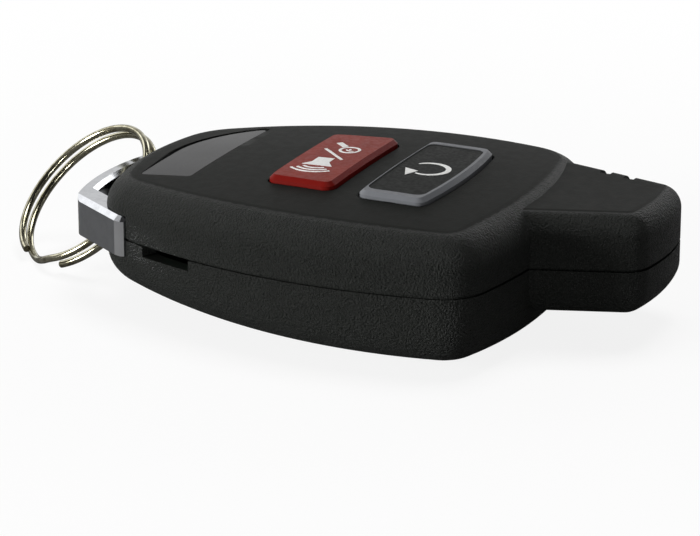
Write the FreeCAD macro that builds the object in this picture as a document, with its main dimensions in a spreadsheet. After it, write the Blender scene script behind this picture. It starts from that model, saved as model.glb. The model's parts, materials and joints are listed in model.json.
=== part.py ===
# Car key: a two-button remote-start key fob with an aerial nose, a key bracket and a split ring.
# Millimetres. +X points to the aerial nose, +Y to the far side, +Z out of the button face.
# The origin is on the flat of the belly that the fob rests on, 0.25 mm behind the red button's front edge.
import FreeCAD, Part
import math
import os
import re
import Sketcher

doc = FreeCAD.newDocument("car_key")
vec = FreeCAD.Vector

# Driving dimensions
SIZES = {
    "margin": 4.0,                 # how far a cutting form runs past what it cuts
    # Case
    "parting_level": 7.8,          # parting plane above the rest face
    "body_half_width": 20.7,
    "widest_reach": 4.9,           # where along X the body is widest
    "side_radius": 62.0,           # plan radius of the two long sides
    "front_reach": 22.2,           # front end on the centre plane
    "front_radius": 67.0,
    "rear_reach": 28.4,            # rear end, behind the origin
    "rear_radius": 36.0,
    "front_corner": 5.2,
    "front_far_corner": 8.0,       # blends into the nose, which sits off the centre
    "rear_corner": 8.3,
    "crown_rise": 7.3,             # top of the case above the parting plane
    "crown_reach": 1.7,            # where along X the case is highest
    "crown_length_radius": 290.0,
    "crown_cross_radius": 300.0,
    "crown_sweep": 24.0,           # degrees that the crowning cuts run round their axis
    "top_round": 3.6,
    "belly_dip": 0.35,             # how far the belly arcs would pass under the rest face
    "belly_reach": 13.0,           # where along X the belly is deepest
    "belly_length_radius": 290.0,
    "belly_cross_radius": 300.0,
    "belly_round": 3.6,
    "wall": 1.7,
    "rear_block": 5.6,             # solid end that holds the key bracket
    # Aerial nose
    "nose_offset": 4.3,            # its centre line, off the body's centre line
    "nose_root_reach": 12.0,
    "nose_root_half": 13.8,
    "nose_reach": 34.0,
    "nose_tip_half": 7.1,
    "nose_end_radius": 30.0,
    "nose_corner": 3.0,
    "nose_rise": 6.2,
    "nose_drop": 5.3,
    "nose_top_round": 2.4,
    "nose_bottom_round": 3.0,
    "notch_first": 23.4,
    "notch_spacing": 3.05,
    "notch_width": 1.3,
    "notch_depth": 0.85,
    "notch_run": 3.2,
    # Joint between the two shells
    "lip_height": 1.2,
    "lip_gap": 0.1,
    "seam_height": 0.3,            # groove that shows round the parting plane
    "seam_depth": 0.35,
    "pry_centre": 16.4,            # behind the origin, on the near side
    "pry_length": 7.2,
    "pry_height": 1.15,
    "pry_depth": 3.0,              # through the wall, also where it curves in
    # Window
    "lens_back": 23.1,             # its rear edge, behind the origin
    "lens_front": 17.0,            # its front edge, behind the origin
    "lens_near_reach": 9.1,        # its near end, beside the centre plane
    "lens_rear_radius": 14.2,      # arc that takes its rear edge round to the far end of the front edge
    "lens_corner": 0.5,
    "lens_groove": 0.75,           # width of the groove round that arc
    "lens_seat": 5.4,              # seat above the parting plane
    "lens_ledge": 1.1,
    "lens_gap": 0.05,
    # Buttons
    "button_gap": 0.25,
    "button_flange": 0.9,
    "flange_thickness": 0.8,
    "flange_play": 0.15,
    "button_edge": 0.45,
    "button_corner": 1.1,
    "panic_back": 7.75,
    "panic_length": 8.0,
    "panic_rear_half": 8.95,
    "panic_front_half": 9.85,
    "panic_proud": 0.8,
    "start_front": 3.55,           # rear edge of the start button, ahead of the origin
    "start_length": 7.6,
    "start_half": 10.55,
    "start_end_radius": 60.0,
    "start_proud": 0.75,
    "rim_side": 0.55,
    "rim_end": 1.2,
    "inlay_depth": 0.7,
    "inlay_sink": 0.1,
    # Switches on the board
    "switch_width": 6.0,
    "switch_base_height": 1.7,
    "switch_cover": 0.25,
    "plunger_diameter": 3.0,
    "plunger_play": 0.1,           # stem above the switch plunger
    "plunger_rise": 1.0,           # plunger above the cover
    "plunger_gap": 0.12,
    "plunger_travel": 0.4,
    # Circuit board and its parts
    "board_thickness": 0.8,
    "board_drop": 0.6,             # board's underside below the parting plane
    "board_gap": 0.35,
    "post_diameter": 3.2,
    "pin_diameter": 1.3,
    "pin_gap": 0.06,
    "pin_rise": 0.9,
    "rear_post_reach": 13.0,
    "rear_post_half": 9.0,
    "front_post_reach": 16.0,
    "front_post_half": 12.2,
    "controller_side": 6.0,
    "controller_height": 0.9,
    "controller_back": 13.0,
    "controller_across": 2.5,
    "radio_length": 6.0,
    "radio_width": 7.0,
    "radio_height": 1.5,
    "radio_reach": 15.0,
    "radio_across": 5.5,
    "crystal_length": 4.6,
    "crystal_width": 2.0,
    "crystal_height": 1.1,
    "crystal_across": 5.0,
    "led_length": 1.6,
    "led_width": 3.0,
    "led_height": 0.8,
    "led_back": 19.5,
    "chip_length": 1.2,
    "chip_width": 0.7,
    "chip_height": 0.5,
    "chip_spacing": 2.4,           # along a row
    "chip_row_spacing": 2.2,
    "chips_reach": 2.5,
    "chips_across": 9.5,
    # Battery
    "cell_diameter": 20.0,
    "cell_height": 3.2,
    "cell_can_height": 2.9,
    "cell_cap_diameter": 17.6,
    "cell_centre": 4.0,
    "contact_thickness": 0.5,
    "contact_width": 6.0,
    "clip_thickness": 0.3,
    "clip_width": 7.0,
    "clip_gap": 0.15,
    # Key bracket
    "bar_reach": 32.45,            # middle of the bowed bar, behind the origin
    "bar_radius": 32.0,
    "bar_inset": 11.45,            # bar's corner, inside the widest half-width
    "bar_thickness": 1.55,
    "bar_corner": 2.5,
    "arm_length": 8.9,             # from the bar's corner to the knee
    "arm_splay": 35.0,             # degrees off the X axis
    "arm_tip": 1.2,                # last stretch, past the knee
    "arm_tip_turn": 13.0,          # degrees that it turns in
    "arm_thickness": 2.9,
    "arm_end_bevel": 0.3,
    "arm_top_bevel": 0.55,
    "bar_inner_bevel": 0.45,
    "bracket_height": 4.5,
    "bracket_drop": 1.8,           # its underside below the parting plane
    "bracket_gap": 0.06,
    "lug_width": 2.4,
    "lug_depth": 1.1,
    "lug_height": 1.8,
    "lug_along": 4.8,
    "slot_setback": 1.5,           # rear wall behind the bar, where the ring passes
    "slot_inset": 0.85,            # slot's end, inside the bar's corner
    "slot_drop": 6.2,
    "slot_rise": 4.2,
    # Split ring
    "ring_radius": 9.35,
    "ring_wire": 0.86,
    "ring_pitch": 1.28,            # centre to centre of the two turns
    "ring_split": 39.0,            # degrees between the two wire ends
    "ring_roll": 260.5,            # degrees round the ring to its lower wire end
    "ring_centre_x": -36.73,
    "ring_centre_y": 3.91,
    "ring_centre_z": 6.06,
    "ring_normal_x": -0.412,       # square to the ring's plane
    "ring_normal_y": -0.558,
    "ring_normal_z": 0.720,
    # Aerial coil
    "coil_radius": 1.5,
    "coil_wire": 0.6,
    "coil_pitch": 1.25,
    "coil_turns": 6,
    "coil_start": 22.5,
    "coil_rise": 2.3,              # coil axis above the board
}

NEAR = 0.05                        # how near a face an edge counts as lying on it

sheet = doc.addObject("Spreadsheet::Sheet", "Sizes")
for row, (alias, value) in enumerate(SIZES.items(), 1):
    sheet.set("A%d" % row, alias)
    sheet.set("B%d" % row, str(value))
    sheet.setAlias("B%d" % row, alias)
doc.recompute()


def cells(expression):
    """Turn plain size names into references to the sheet's cells."""
    return re.sub(r"[a-z_]+", lambda m: "Sizes." + m.group() if m.group() in SIZES else m.group(), expression)


def size(expression):
    """The number that an expression of size names stands for now."""
    return float(sheet.evalExpression(cells(expression)))


def bind(thing, **properties):
    """Bind properties to expressions of size names; two underscores stand for a dot."""
    for name, expression in properties.items():
        thing.setExpression(name.replace("__", "."), cells(expression))
    return thing


def place(thing, x="0", y="0", z="0"):
    """Bind the position of a primitive."""
    return bind(thing, Placement__Base__x=x, Placement__Base__y=y, Placement__Base__z=z)


# Plain solids and how they are joined
def box(name, length, width, height, x, y, z):
    """Box from its lowest corner."""
    thing = doc.addObject("Part::Box", name)
    bind(thing, Length=length, Width=width, Height=height)
    return place(thing, x, y, z)


def block(name, length, width, height, x, y, z):
    """Box centred on x and y that stands on z."""
    return box(name, length, width, height, "%s - (%s) / 2" % (x, length), "%s - (%s) / 2" % (y, width), z)


def cylinder(name, diameter, height, x, y, z):
    """Upright cylinder that stands on z."""
    thing = doc.addObject("Part::Cylinder", name)
    bind(thing, Radius="(%s) / 2" % diameter, Height=height)
    return place(thing, x, y, z)


def fuse(name, *things):
    thing = doc.addObject("Part::MultiFuse", name)
    thing.Shapes = list(things)
    thing.Refine = True
    return thing


def cut(name, base, *tools):
    thing = doc.addObject("Part::Cut", name)
    thing.Base = base
    thing.Tool = tools[0] if len(tools) == 1 else fuse(name + "_tools", *tools)
    return thing


def common(name, *things):
    thing = doc.addObject("Part::MultiCommon", name)
    thing.Shapes = list(things)
    return thing


def mirror(name, source):
    """Copy on the other side of the body's centre plane."""
    thing = doc.addObject("Part::Mirroring", name)
    thing.Source = source
    thing.Normal = vec(0, 1, 0)
    return thing


# Flat outlines and the forms made from them
def new_body(name):
    return doc.addObject("PartDesign::Body", name)


def new_sketch(body, name, plane, reach="0", level="0"):
    """Empty sketch on an origin plane: reach moves it along its own x axis, level along its normal."""
    sketch = body.newObject("Sketcher::SketchObject", name)
    origin = [f for f in body.Origin.OriginFeatures if f.Role == plane][0]
    sketch.AttachmentSupport = [(origin, "")]
    sketch.MapMode = "FlatFace"
    bind(sketch, AttachmentOffset__Base__x=reach, AttachmentOffset__Base__z=level)
    return sketch


def dimension(sketch, kind, *where, to):
    """Add one dimension to a sketch and bind it to the sheet."""
    index = sketch.addConstraint(Sketcher.Constraint(kind, *where, size(to)))
    sketch.setExpression("Constraints[%d]" % index, cells(to))


def link(sketch, kind, *where):
    sketch.addConstraint(Sketcher.Constraint(kind, *where))


def join_loop(sketch, count):
    """Tie the end of each of the first edges to the start of the next, and the last to the first."""
    for edge in range(count):
        link(sketch, "Coincident", edge, 2, (edge + 1) % count, 1)


def pad(body, sketch, length, down=False):
    feature = body.newObject("PartDesign::Pad", sketch.Name + "_pad")
    feature.Profile = sketch
    feature.Reversed = down
    bind(feature, Length=length)
    sketch.Visibility = False
    doc.recompute()
    return feature


def round_edges(body, name, radius, chosen, kind="PartDesign::Fillet"):
    """Fillet or chamfer the edges of a body that chosen accepts."""
    tip = body.Tip
    edges = ["Edge%d" % (i + 1) for i, edge in enumerate(tip.Shape.Edges) if chosen(edge)]
    assert edges, name + " has no edges"
    feature = body.newObject(kind, name)
    feature.Base = (tip, edges)
    bind(feature, **{"Radius" if kind == "PartDesign::Fillet" else "Size": radius})
    doc.recompute()
    return feature


def upright(edge):
    """True for a straight edge along Z."""
    if edge.Curve.TypeId != "Part::GeomLine":
        return False
    return abs(edge.Curve.Direction.z) > 0.999


def edges_of_end(shape, side):
    """Test for the edges round the highest face (side 1) or the lowest one (side -1)."""
    end = max(shape.Faces, key=lambda face: side * face.CenterOfMass.z)
    return lambda edge: any(edge.isSame(other) for other in end.Edges)


# Outlines
def crossing(first, second, side):
    """Front (side 1) or rear (-1) point where two circles cross, each a centre x, centre y and radius."""
    x, y, radius = first
    other_x, other_y, other_radius = second
    reach = math.hypot(other_x - x, other_y - y)
    along = (reach ** 2 + radius ** 2 - other_radius ** 2) / (2 * reach)
    across = math.sqrt(radius ** 2 - along ** 2)
    ux = (other_x - x) / reach
    uy = (other_y - y) / reach
    points = [(x + along * ux + turn * across * uy, y + along * uy - turn * across * ux) for turn in (1, -1)]
    return max(points, key=lambda point: side * point[0])


def arc_between(circle, start, end):
    """Arc of a circle, a centre x, a centre y and a radius, from start round to end."""
    x, y, radius = circle
    first = math.atan2(start[1] - y, start[0] - x)
    last = math.atan2(end[1] - y, end[0] - x)
    if last < first:
        last += 2 * math.pi
    return Part.ArcOfCircle(Part.Circle(vec(x, y, 0), vec(0, 0, 1), radius), first, last)


def case_outline(body, name, level, inset, rear_inset):
    """Plan of the case body: near side, front, far side and rear end, all bowed and inset by a wall."""
    sketch = new_sketch(body, name, "XY_Plane", level=level)
    middle = size("widest_reach")
    offset = size("side_radius - body_half_width")
    side_radius = size("side_radius - (%s)" % inset)
    near_side = (middle, offset, side_radius)
    far_side = (middle, -offset, side_radius)
    front = (size("front_reach - front_radius"), 0, size("front_radius - (%s)" % inset))
    rear = (size("rear_radius - rear_reach"), 0, size("rear_radius - (%s)" % rear_inset))
    front_corner = crossing(near_side, front, 1)
    rear_corner = crossing(near_side, rear, -1)
    far_front = (front_corner[0], -front_corner[1])
    far_rear = (rear_corner[0], -rear_corner[1])
    sketch.addGeometry(arc_between(near_side, rear_corner, front_corner))
    sketch.addGeometry(arc_between(front, front_corner, far_front))
    sketch.addGeometry(arc_between(far_side, far_front, far_rear))
    sketch.addGeometry(arc_between(rear, far_rear, rear_corner))
    join_loop(sketch, 4)
    link(sketch, "PointOnObject", 1, 3, -1)
    link(sketch, "PointOnObject", 3, 3, -1)
    dimension(sketch, "Radius", 0, to="side_radius - (%s)" % inset)
    dimension(sketch, "Radius", 2, to="side_radius - (%s)" % inset)
    dimension(sketch, "Radius", 1, to="front_radius - (%s)" % inset)
    dimension(sketch, "Radius", 3, to="rear_radius - (%s)" % rear_inset)
    dimension(sketch, "DistanceX", -1, 1, 0, 3, to="widest_reach")
    dimension(sketch, "DistanceX", -1, 1, 2, 3, to="widest_reach")
    dimension(sketch, "DistanceY", -1, 1, 0, 3, to="side_radius - body_half_width")
    dimension(sketch, "DistanceY", 2, 3, -1, 1, to="side_radius - body_half_width")
    dimension(sketch, "DistanceX", 1, 3, -1, 1, to="front_radius - front_reach")
    dimension(sketch, "DistanceX", -1, 1, 3, 3, to="rear_radius - rear_reach")
    return sketch


def tapered_outline(sketch, length, rear_half, front_half, end_radius=None):
    """Symmetric plan with a straight rear end on the sketch's y axis and a straight or bowed front end."""
    reach = size(length)
    rear = size(rear_half)
    front = size(front_half)
    sketch.addGeometry(Part.LineSegment(vec(0, rear, 0), vec(0, -rear, 0)))
    sketch.addGeometry(Part.LineSegment(vec(0, -rear, 0), vec(reach, -front, 0)))
    if end_radius:
        radius = size(end_radius)
        bulge = radius - math.sqrt(radius ** 2 - front ** 2)
        sketch.addGeometry(Part.Arc(vec(reach, -front, 0), vec(reach + bulge, 0, 0), vec(reach, front, 0)))
    else:
        sketch.addGeometry(Part.LineSegment(vec(reach, -front, 0), vec(reach, front, 0)))
    sketch.addGeometry(Part.LineSegment(vec(reach, front, 0), vec(0, rear, 0)))
    join_loop(sketch, 4)
    link(sketch, "Symmetric", 0, 1, 0, 2, -1)
    link(sketch, "Symmetric", 2, 1, 2, 2, -1)
    link(sketch, "PointOnObject", 0, 1, -2)
    dimension(sketch, "DistanceY", 0, 2, 0, 1, to="2 * (%s)" % rear_half)
    dimension(sketch, "DistanceY", 2, 1, 2, 2, to="2 * (%s)" % front_half)
    dimension(sketch, "DistanceX", 0, 2, 2, 1, to=length)
    if end_radius:
        dimension(sketch, "Radius", 2, to=end_radius)
    return sketch


NOSE_BULGE = "(nose_end_radius - sqrt(nose_end_radius ^ 2 - nose_tip_half ^ 2))"
NOSE_LENGTH = "(nose_reach - nose_root_reach - %s)" % NOSE_BULGE


def nose_outline(body, name, level, inset):
    """Plan of the aerial nose from inside the body to its rounded end, inset by a wall."""
    sketch = new_sketch(body, name, "XY_Plane", "nose_root_reach", level)
    bind(sketch, AttachmentOffset__Base__y="nose_offset")
    length = "%s - (%s)" % (NOSE_LENGTH, inset)
    root = "nose_root_half - (%s)" % inset
    tip = "nose_tip_half - (%s)" % inset
    return tapered_outline(sketch, length, root, tip, "nose_end_radius")


def crown_cut(body, name, rise, reach, length_radius, cross_radius, side):
    """Cut the end of a form to a face crowned along X and Y, facing up (side 1) or down (side -1)."""
    sketch = new_sketch(body, name, "YZ_Plane", level=reach)
    top = side * size(rise) + size("parting_level")
    length = size(length_radius)
    cross = size(cross_radius)
    half = size("body_half_width + margin")
    sag = cross - math.sqrt(cross ** 2 - half ** 2)
    far = top + side * size("2 * margin")
    edge = top - side * sag
    axis = top - side * length
    sketch.addGeometry(Part.LineSegment(vec(-half, axis, 0), vec(half, axis, 0)), True)
    if side > 0:
        sketch.addGeometry(Part.Arc(vec(half, edge, 0), vec(0, top, 0), vec(-half, edge, 0)))
    else:
        sketch.addGeometry(Part.Arc(vec(-half, edge, 0), vec(0, top, 0), vec(half, edge, 0)))
    first = -half if side > 0 else half
    sketch.addGeometry(Part.LineSegment(vec(first, edge, 0), vec(first, far, 0)))
    sketch.addGeometry(Part.LineSegment(vec(first, far, 0), vec(-first, far, 0)))
    sketch.addGeometry(Part.LineSegment(vec(-first, far, 0), vec(-first, edge, 0)))
    for edge_index in (1, 2, 3):
        link(sketch, "Coincident", edge_index, 2, edge_index + 1, 1)
    link(sketch, "Coincident", 4, 2, 1, 1)
    link(sketch, "Symmetric", 0, 1, 0, 2, -2)
    link(sketch, "Symmetric", 2, 2, 3, 2, -2)
    link(sketch, "Symmetric", 1, 1, 1, 2, -2)
    link(sketch, "Vertical", 2)
    dimension(sketch, "DistanceX", 0, 1, 0, 2, to="2 * (body_half_width + margin)")
    if side > 0:
        dimension(sketch, "DistanceX", 3, 1, 3, 2, to="2 * (body_half_width + margin)")
        dimension(sketch, "DistanceY", 0, 1, -1, 1, to="%s - (%s) - parting_level" % (length_radius, rise))
        dimension(sketch, "DistanceY", -1, 1, 3, 1, to="parting_level + (%s) + 2 * margin" % rise)
        dimension(sketch, "DistanceY", 1, 3, -1, 1, to="%s - (%s) - parting_level" % (cross_radius, rise))
    else:
        dimension(sketch, "DistanceX", 3, 2, 3, 1, to="2 * (body_half_width + margin)")
        dimension(sketch, "DistanceY", -1, 1, 0, 1, to="%s - (%s) + parting_level" % (length_radius, rise))
        dimension(sketch, "DistanceY", 3, 1, -1, 1, to="(%s) - parting_level + 2 * margin" % rise)
        dimension(sketch, "DistanceY", -1, 1, 1, 3, to="%s - (%s) + parting_level" % (cross_radius, rise))
    dimension(sketch, "Radius", 1, to=cross_radius)
    before = body.Shape.Volume
    feature = body.newObject("PartDesign::Groove", name + "_groove")
    feature.Profile = sketch
    feature.ReferenceAxis = (sketch, ["Axis0"])
    bind(feature, Angle="crown_sweep")
    feature.Midplane = True
    doc.recompute()
    assert body.Shape.Volume < before - 1e-6, name + " cuts nothing"
    return feature


# The case's forms, before they are hollowed
def case_plate(body, name, inset, rear_inset, level, height, down=False):
    """Plate with the body's plan and its rounded corners, inset by a wall."""
    outline = case_outline(body, name + "_plan", level, inset, rear_inset)
    pad(body, outline, height, down)
    for corner, side in (("front_corner", -1), ("front_far_corner", 1)):
        round_edges(body, "%s_%s" % (name, corner), "%s - (%s)" % (corner, inset),
                    lambda edge: upright(edge) and edge.CenterOfMass.x > 0 and side * edge.CenterOfMass.y > 0)
    round_edges(body, name + "_rear", "rear_corner - (%s)" % inset,
                lambda edge: upright(edge) and edge.CenterOfMass.x < 0)


def nose_plate(body, name, inset, level, height, down=False):
    """Plate with the nose's plan and its rounded end, inset by a wall."""
    pad(body, nose_outline(body, name + "_plan", level, inset), height, down)
    root = size("nose_root_reach") + NEAR
    round_edges(body, name + "_tip", "nose_corner - (%s)" % inset,
                lambda edge: upright(edge) and edge.CenterOfMass.x > root)


def body_form(name, side, inset, rear_inset):
    """Upper (side 1) or lower (side -1) half of the body without the nose, inset by a wall."""
    body = new_body(name)
    rise = "crown_rise - (%s)" % inset if side > 0 else "parting_level + belly_dip - (%s)" % inset
    case_plate(body, name, inset, rear_inset, "parting_level", "%s + margin / 2" % rise, down=side < 0)
    end = "crown" if side > 0 else "belly"
    crown_cut(body, name + "_crown", rise, end + "_reach", end + "_length_radius", end + "_cross_radius",
              side)
    rounding = "top_round" if side > 0 else "belly_round"
    round_edges(body, name + "_round", "%s - (%s)" % (rounding, inset), edges_of_end(body.Tip.Shape, side))
    return body


def nose_form(name, side, inset):
    """Upper (side 1) or lower (side -1) half of the nose, inset by a wall."""
    body = new_body(name)
    rise = "nose_rise" if side > 0 else "nose_drop"
    nose_plate(body, name, inset, "parting_level", "%s - (%s)" % (rise, inset), down=side < 0)
    ends = edges_of_end(body.Tip.Shape, side)
    root = size("nose_root_reach") + NEAR
    rounding = "nose_top_round" if side > 0 else "nose_bottom_round"
    round_edges(body, name + "_round", "%s - (%s)" % (rounding, inset),
                lambda edge: ends(edge) and edge.CenterOfMass.x > root)
    return body


def footprint(name, inset, rear_inset, level, height):
    """Flat plate with the plan of body and nose together, inset by a wall."""
    body = new_body(name + "_body")
    case_plate(body, name + "_body", inset, rear_inset, level, height)
    nose = new_body(name + "_nose")
    nose_plate(nose, name + "_nose", inset, level, height)
    return fuse(name, body, nose)


def panel(name, back, length, rear_half, front_half, corner, level, height, end_radius=None, grow="0"):
    """Plate with a tapered plan and rounded corners; grow widens it on every side."""
    body = new_body(name)
    sketch = new_sketch(body, name + "_plan", "XY_Plane", "%s - (%s)" % (back, grow), level)
    tapered_outline(sketch, "%s + 2 * (%s)" % (length, grow), "%s + (%s)" % (rear_half, grow),
                    "%s + (%s)" % (front_half, grow), end_radius)
    pad(body, sketch, height)
    round_edges(body, name + "_corners", "%s + (%s)" % (corner, grow), upright)
    return body


def ceiling_sag(x, y):
    """How far the crowned ceiling has dropped at a point of the plan."""
    lengthwise = "((%s) - crown_reach) ^ 2 / (2 * crown_length_radius)" % x
    crosswise = "(%s) ^ 2 / (2 * crown_cross_radius)" % y
    return "(%s + %s)" % (lengthwise, crosswise)


BOARD_UNDER = "parting_level - board_drop"
BOARD_TOP = "parting_level - board_drop + board_thickness"
COVER_TOP = BOARD_TOP + " + switch_base_height + switch_cover"
PLUNGER_TOP = COVER_TOP + " + plunger_rise"
CELL_TOP = BOARD_UNDER + " - contact_thickness"
LENS_LEVEL = "parting_level + lens_seat"
CASE_TOP = "parting_level + crown_rise"

# Outer and inner forms of both shells
outer_top = fuse("outer_top", body_form("body_top", 1, "0", "0"), nose_form("nose_top", 1, "0"))
outer_bottom = fuse("outer_bottom", body_form("body_bottom", -1, "0", "0"), nose_form("nose_bottom", -1, "0"))
room_top = fuse("room_top", body_form("body_room_top", 1, "wall", "rear_block"),
                nose_form("nose_room_top", 1, "wall"))
room_bottom = fuse("room_bottom", body_form("body_room_bottom", -1, "wall", "rear_block"),
                   nose_form("nose_room_bottom", -1, "wall"))

# Lip of the lower shell and the groove round it in the upper one
lip_groove = footprint("lip_groove", "wall / 2", "rear_block - wall / 2", "parting_level",
                       "lip_height + lip_gap")
lip_outside = footprint("lip_outside", "wall / 2 + lip_gap", "rear_block - wall / 2 + lip_gap",
                        "parting_level", "lip_height")
lip_inside = footprint("lip_inside", "wall", "rear_block", "parting_level", "lip_height")
lip = cut("lip", lip_outside, lip_inside)

# Groove round the outside, just above the parting plane
seam_core = footprint("seam_core", "seam_depth", "seam_depth", "parting_level", "seam_height")
seam_blank = block("seam_blank", "4 * front_reach", "4 * body_half_width", "seam_height", "0", "0",
                   "parting_level")
seam = cut("seam", seam_blank, seam_core)


# Key bracket: a bowed bar across the rear end with two arms that splay along the tapered sides
BAR_HALF = "(body_half_width - bar_inset)"
BAR_CORNER = "(bar_radius - bar_reach - sqrt(bar_radius ^ 2 - %s ^ 2))" % BAR_HALF
ARM_REACH = "(arm_length + arm_tip * cos(arm_tip_turn))"


def bracket_outline(body):
    """Plan of the bar and its arms, symmetric about the body's centre plane."""
    sketch = new_sketch(body, "bracket_plan", "XY_Plane", level="parting_level - bracket_drop")
    splay = math.radians(size("arm_splay"))
    tip_splay = math.radians(size("arm_splay - arm_tip_turn"))
    along = vec(math.cos(splay), math.sin(splay), 0)
    inward = vec(math.sin(splay), -math.cos(splay), 0)
    corner = vec(size(BAR_CORNER), size(BAR_HALF), 0)
    knee = corner + along * size("arm_length")
    end = knee + vec(math.cos(tip_splay), math.sin(tip_splay), 0) * size("arm_tip")
    inner_end = corner + along * size(ARM_REACH) + inward * size("arm_thickness")
    centre = vec(size("bar_radius - bar_reach"), 0, 0)
    inner_radius = size("bar_radius - bar_thickness")
    from_centre = inner_end - centre
    ahead = from_centre.dot(along)
    back = ahead + math.sqrt(ahead ** 2 - from_centre.dot(from_centre) + inner_radius ** 2)
    inner_corner = inner_end - along * back
    far = [corner, knee, end, inner_end, inner_corner]
    near = [vec(point.x, -point.y, 0) for point in reversed(far)]
    inner_arc = arc_between((centre.x, 0, inner_radius), (inner_corner.x, inner_corner.y),
                            (inner_corner.x, -inner_corner.y))
    outer_arc = arc_between((centre.x, 0, size("bar_radius")), (corner.x, corner.y), (corner.x, -corner.y))
    for start, finish in zip(far, far[1:]):
        sketch.addGeometry(Part.LineSegment(start, finish))
    sketch.addGeometry(inner_arc)
    for start, finish in zip(near, near[1:]):
        sketch.addGeometry(Part.LineSegment(start, finish))
    sketch.addGeometry(outer_arc)
    for edge in range(8):
        link(sketch, "Coincident", edge, 2, edge + 1, 1)
    link(sketch, "Coincident", 8, 2, 9, 2)
    link(sketch, "Coincident", 9, 1, 0, 1)
    link(sketch, "Symmetric", 9, 1, 9, 2, -1)
    link(sketch, "Symmetric", 4, 1, 4, 2, -1)
    for far_edge, near_edge in ((0, 7), (1, 6), (2, 5)):
        link(sketch, "Symmetric", far_edge, 2, near_edge, 2, -1)
    link(sketch, "Vertical", 9, 3, 4, 3)
    link(sketch, "Perpendicular", 0, 2)
    link(sketch, "Parallel", 0, 3)
    dimension(sketch, "Radius", 9, to="bar_radius")
    dimension(sketch, "Radius", 4, to="bar_radius - bar_thickness")
    dimension(sketch, "DistanceX", 9, 3, -1, 1, to="bar_reach - bar_radius")
    dimension(sketch, "DistanceY", -1, 1, 0, 1, to=BAR_HALF)
    dimension(sketch, "DistanceX", 0, 1, 0, 2, to="arm_length * cos(arm_splay)")
    dimension(sketch, "DistanceY", 0, 1, 0, 2, to="arm_length * sin(arm_splay)")
    dimension(sketch, "DistanceX", 1, 1, 1, 2, to="arm_tip * cos(arm_splay - arm_tip_turn)")
    dimension(sketch, "DistanceY", 1, 1, 1, 2, to="arm_tip * sin(arm_splay - arm_tip_turn)")
    dimension(sketch, "Distance", 2, 2, 0, to="arm_thickness")
    return sketch


def along_arm(name, start, finish, outward, inward, drop, rise):
    """Box along the far arm, between distances from the bar's corner and from the arm's outer face."""
    thing = doc.addObject("Part::Box", name)
    bind(thing, Length="(%s) - (%s)" % (finish, start), Width="(%s) + (%s)" % (outward, inward),
         Height="(%s) + (%s)" % (drop, rise), Placement__Rotation__Angle="arm_splay")
    x = "%s + (%s) * cos(arm_splay) + (%s) * sin(arm_splay)" % (BAR_CORNER, start, inward)
    y = "%s + (%s) * sin(arm_splay) - (%s) * cos(arm_splay)" % (BAR_HALF, start, inward)
    return place(thing, x, y, "parting_level - (%s)" % drop)


def outside_arm(point):
    """How far a point lies outside the outer face of the arm on its side."""
    splay = math.radians(size("arm_splay"))
    across = (abs(point.y) - size(BAR_HALF)) * math.cos(splay)
    return across - (point.x - size(BAR_CORNER)) * math.sin(splay)


def arm_end(edge):
    """True for the upright edges where the arms' outer faces end."""
    end = size("%s + arm_length * cos(arm_splay) + arm_tip * cos(arm_splay - arm_tip_turn)" % BAR_CORNER)
    outside = outside_arm(edge.CenterOfMass) > -size("arm_thickness / 2")
    return upright(edge) and outside and abs(edge.CenterOfMass.x - end) < NEAR


def arm_top(edge):
    """True for the straight edges along the top of the arms' outer faces."""
    middle = edge.CenterOfMass
    if edge.Curve.TypeId != "Part::GeomLine" or abs(middle.z - bracket_top) > NEAR:
        return False
    return outside_arm(middle) > -size("arm_thickness / 3")


def bar_inner_top(edge):
    """True for the bowed edge along the top of the bar's inner face."""
    if edge.Curve.TypeId != "Part::GeomCircle" or abs(edge.CenterOfMass.z - bracket_top) > NEAR:
        return False
    return abs(edge.Curve.Radius - size("bar_radius - bar_thickness")) < NEAR


bracket_body = new_body("bracket_body")
pad(bracket_body, bracket_outline(bracket_body), "bracket_height")
bracket_top = size("parting_level - bracket_drop + bracket_height")
bar_face = size(BAR_CORNER) + NEAR
round_edges(bracket_body, "arm_end_bevels", "arm_end_bevel", arm_end, "PartDesign::Chamfer")
round_edges(bracket_body, "arm_top_bevels", "arm_top_bevel", arm_top, "PartDesign::Chamfer")
round_edges(bracket_body, "bar_inner_bevels", "bar_inner_bevel", bar_inner_top, "PartDesign::Chamfer")
round_edges(bracket_body, "bracket_corners", "bar_corner",
            lambda edge: upright(edge) and edge.CenterOfMass.x < bar_face)
lug = along_arm("lug_far", "lug_along", "lug_along + lug_width", "-arm_thickness / 2",
                "arm_thickness + lug_depth", "lug_height / 2", "lug_height / 2")
key_bracket = fuse("key_bracket", bracket_body, lug, mirror("lug_near", lug))

# Seats of the bracket and the slot that the ring passes through
arm_seat = along_arm("arm_seat", "-2 * margin", ARM_REACH + " + bracket_gap", "2 * margin",
                     "arm_thickness + bracket_gap", "bracket_drop + bracket_gap",
                     "bracket_height - bracket_drop + bracket_gap")
lug_seat = along_arm("lug_seat", "lug_along - bracket_gap", "lug_along + lug_width + bracket_gap", "0",
                     "arm_thickness + lug_depth + bracket_gap", "lug_height / 2 + bracket_gap",
                     "lug_height / 2 + bracket_gap")
slot_half = BAR_HALF + " - slot_inset"
ring_slot = box("ring_slot", "slot_setback + margin", "2 * (%s)" % slot_half, "slot_drop + slot_rise",
                "-rear_reach - margin", "-(%s)" % slot_half, "parting_level - slot_drop")
rear_cuts = fuse("rear_cuts", arm_seat, lug_seat, mirror("arm_seat_near", arm_seat),
                 mirror("lug_seat_near", lug_seat), ring_slot)



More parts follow.
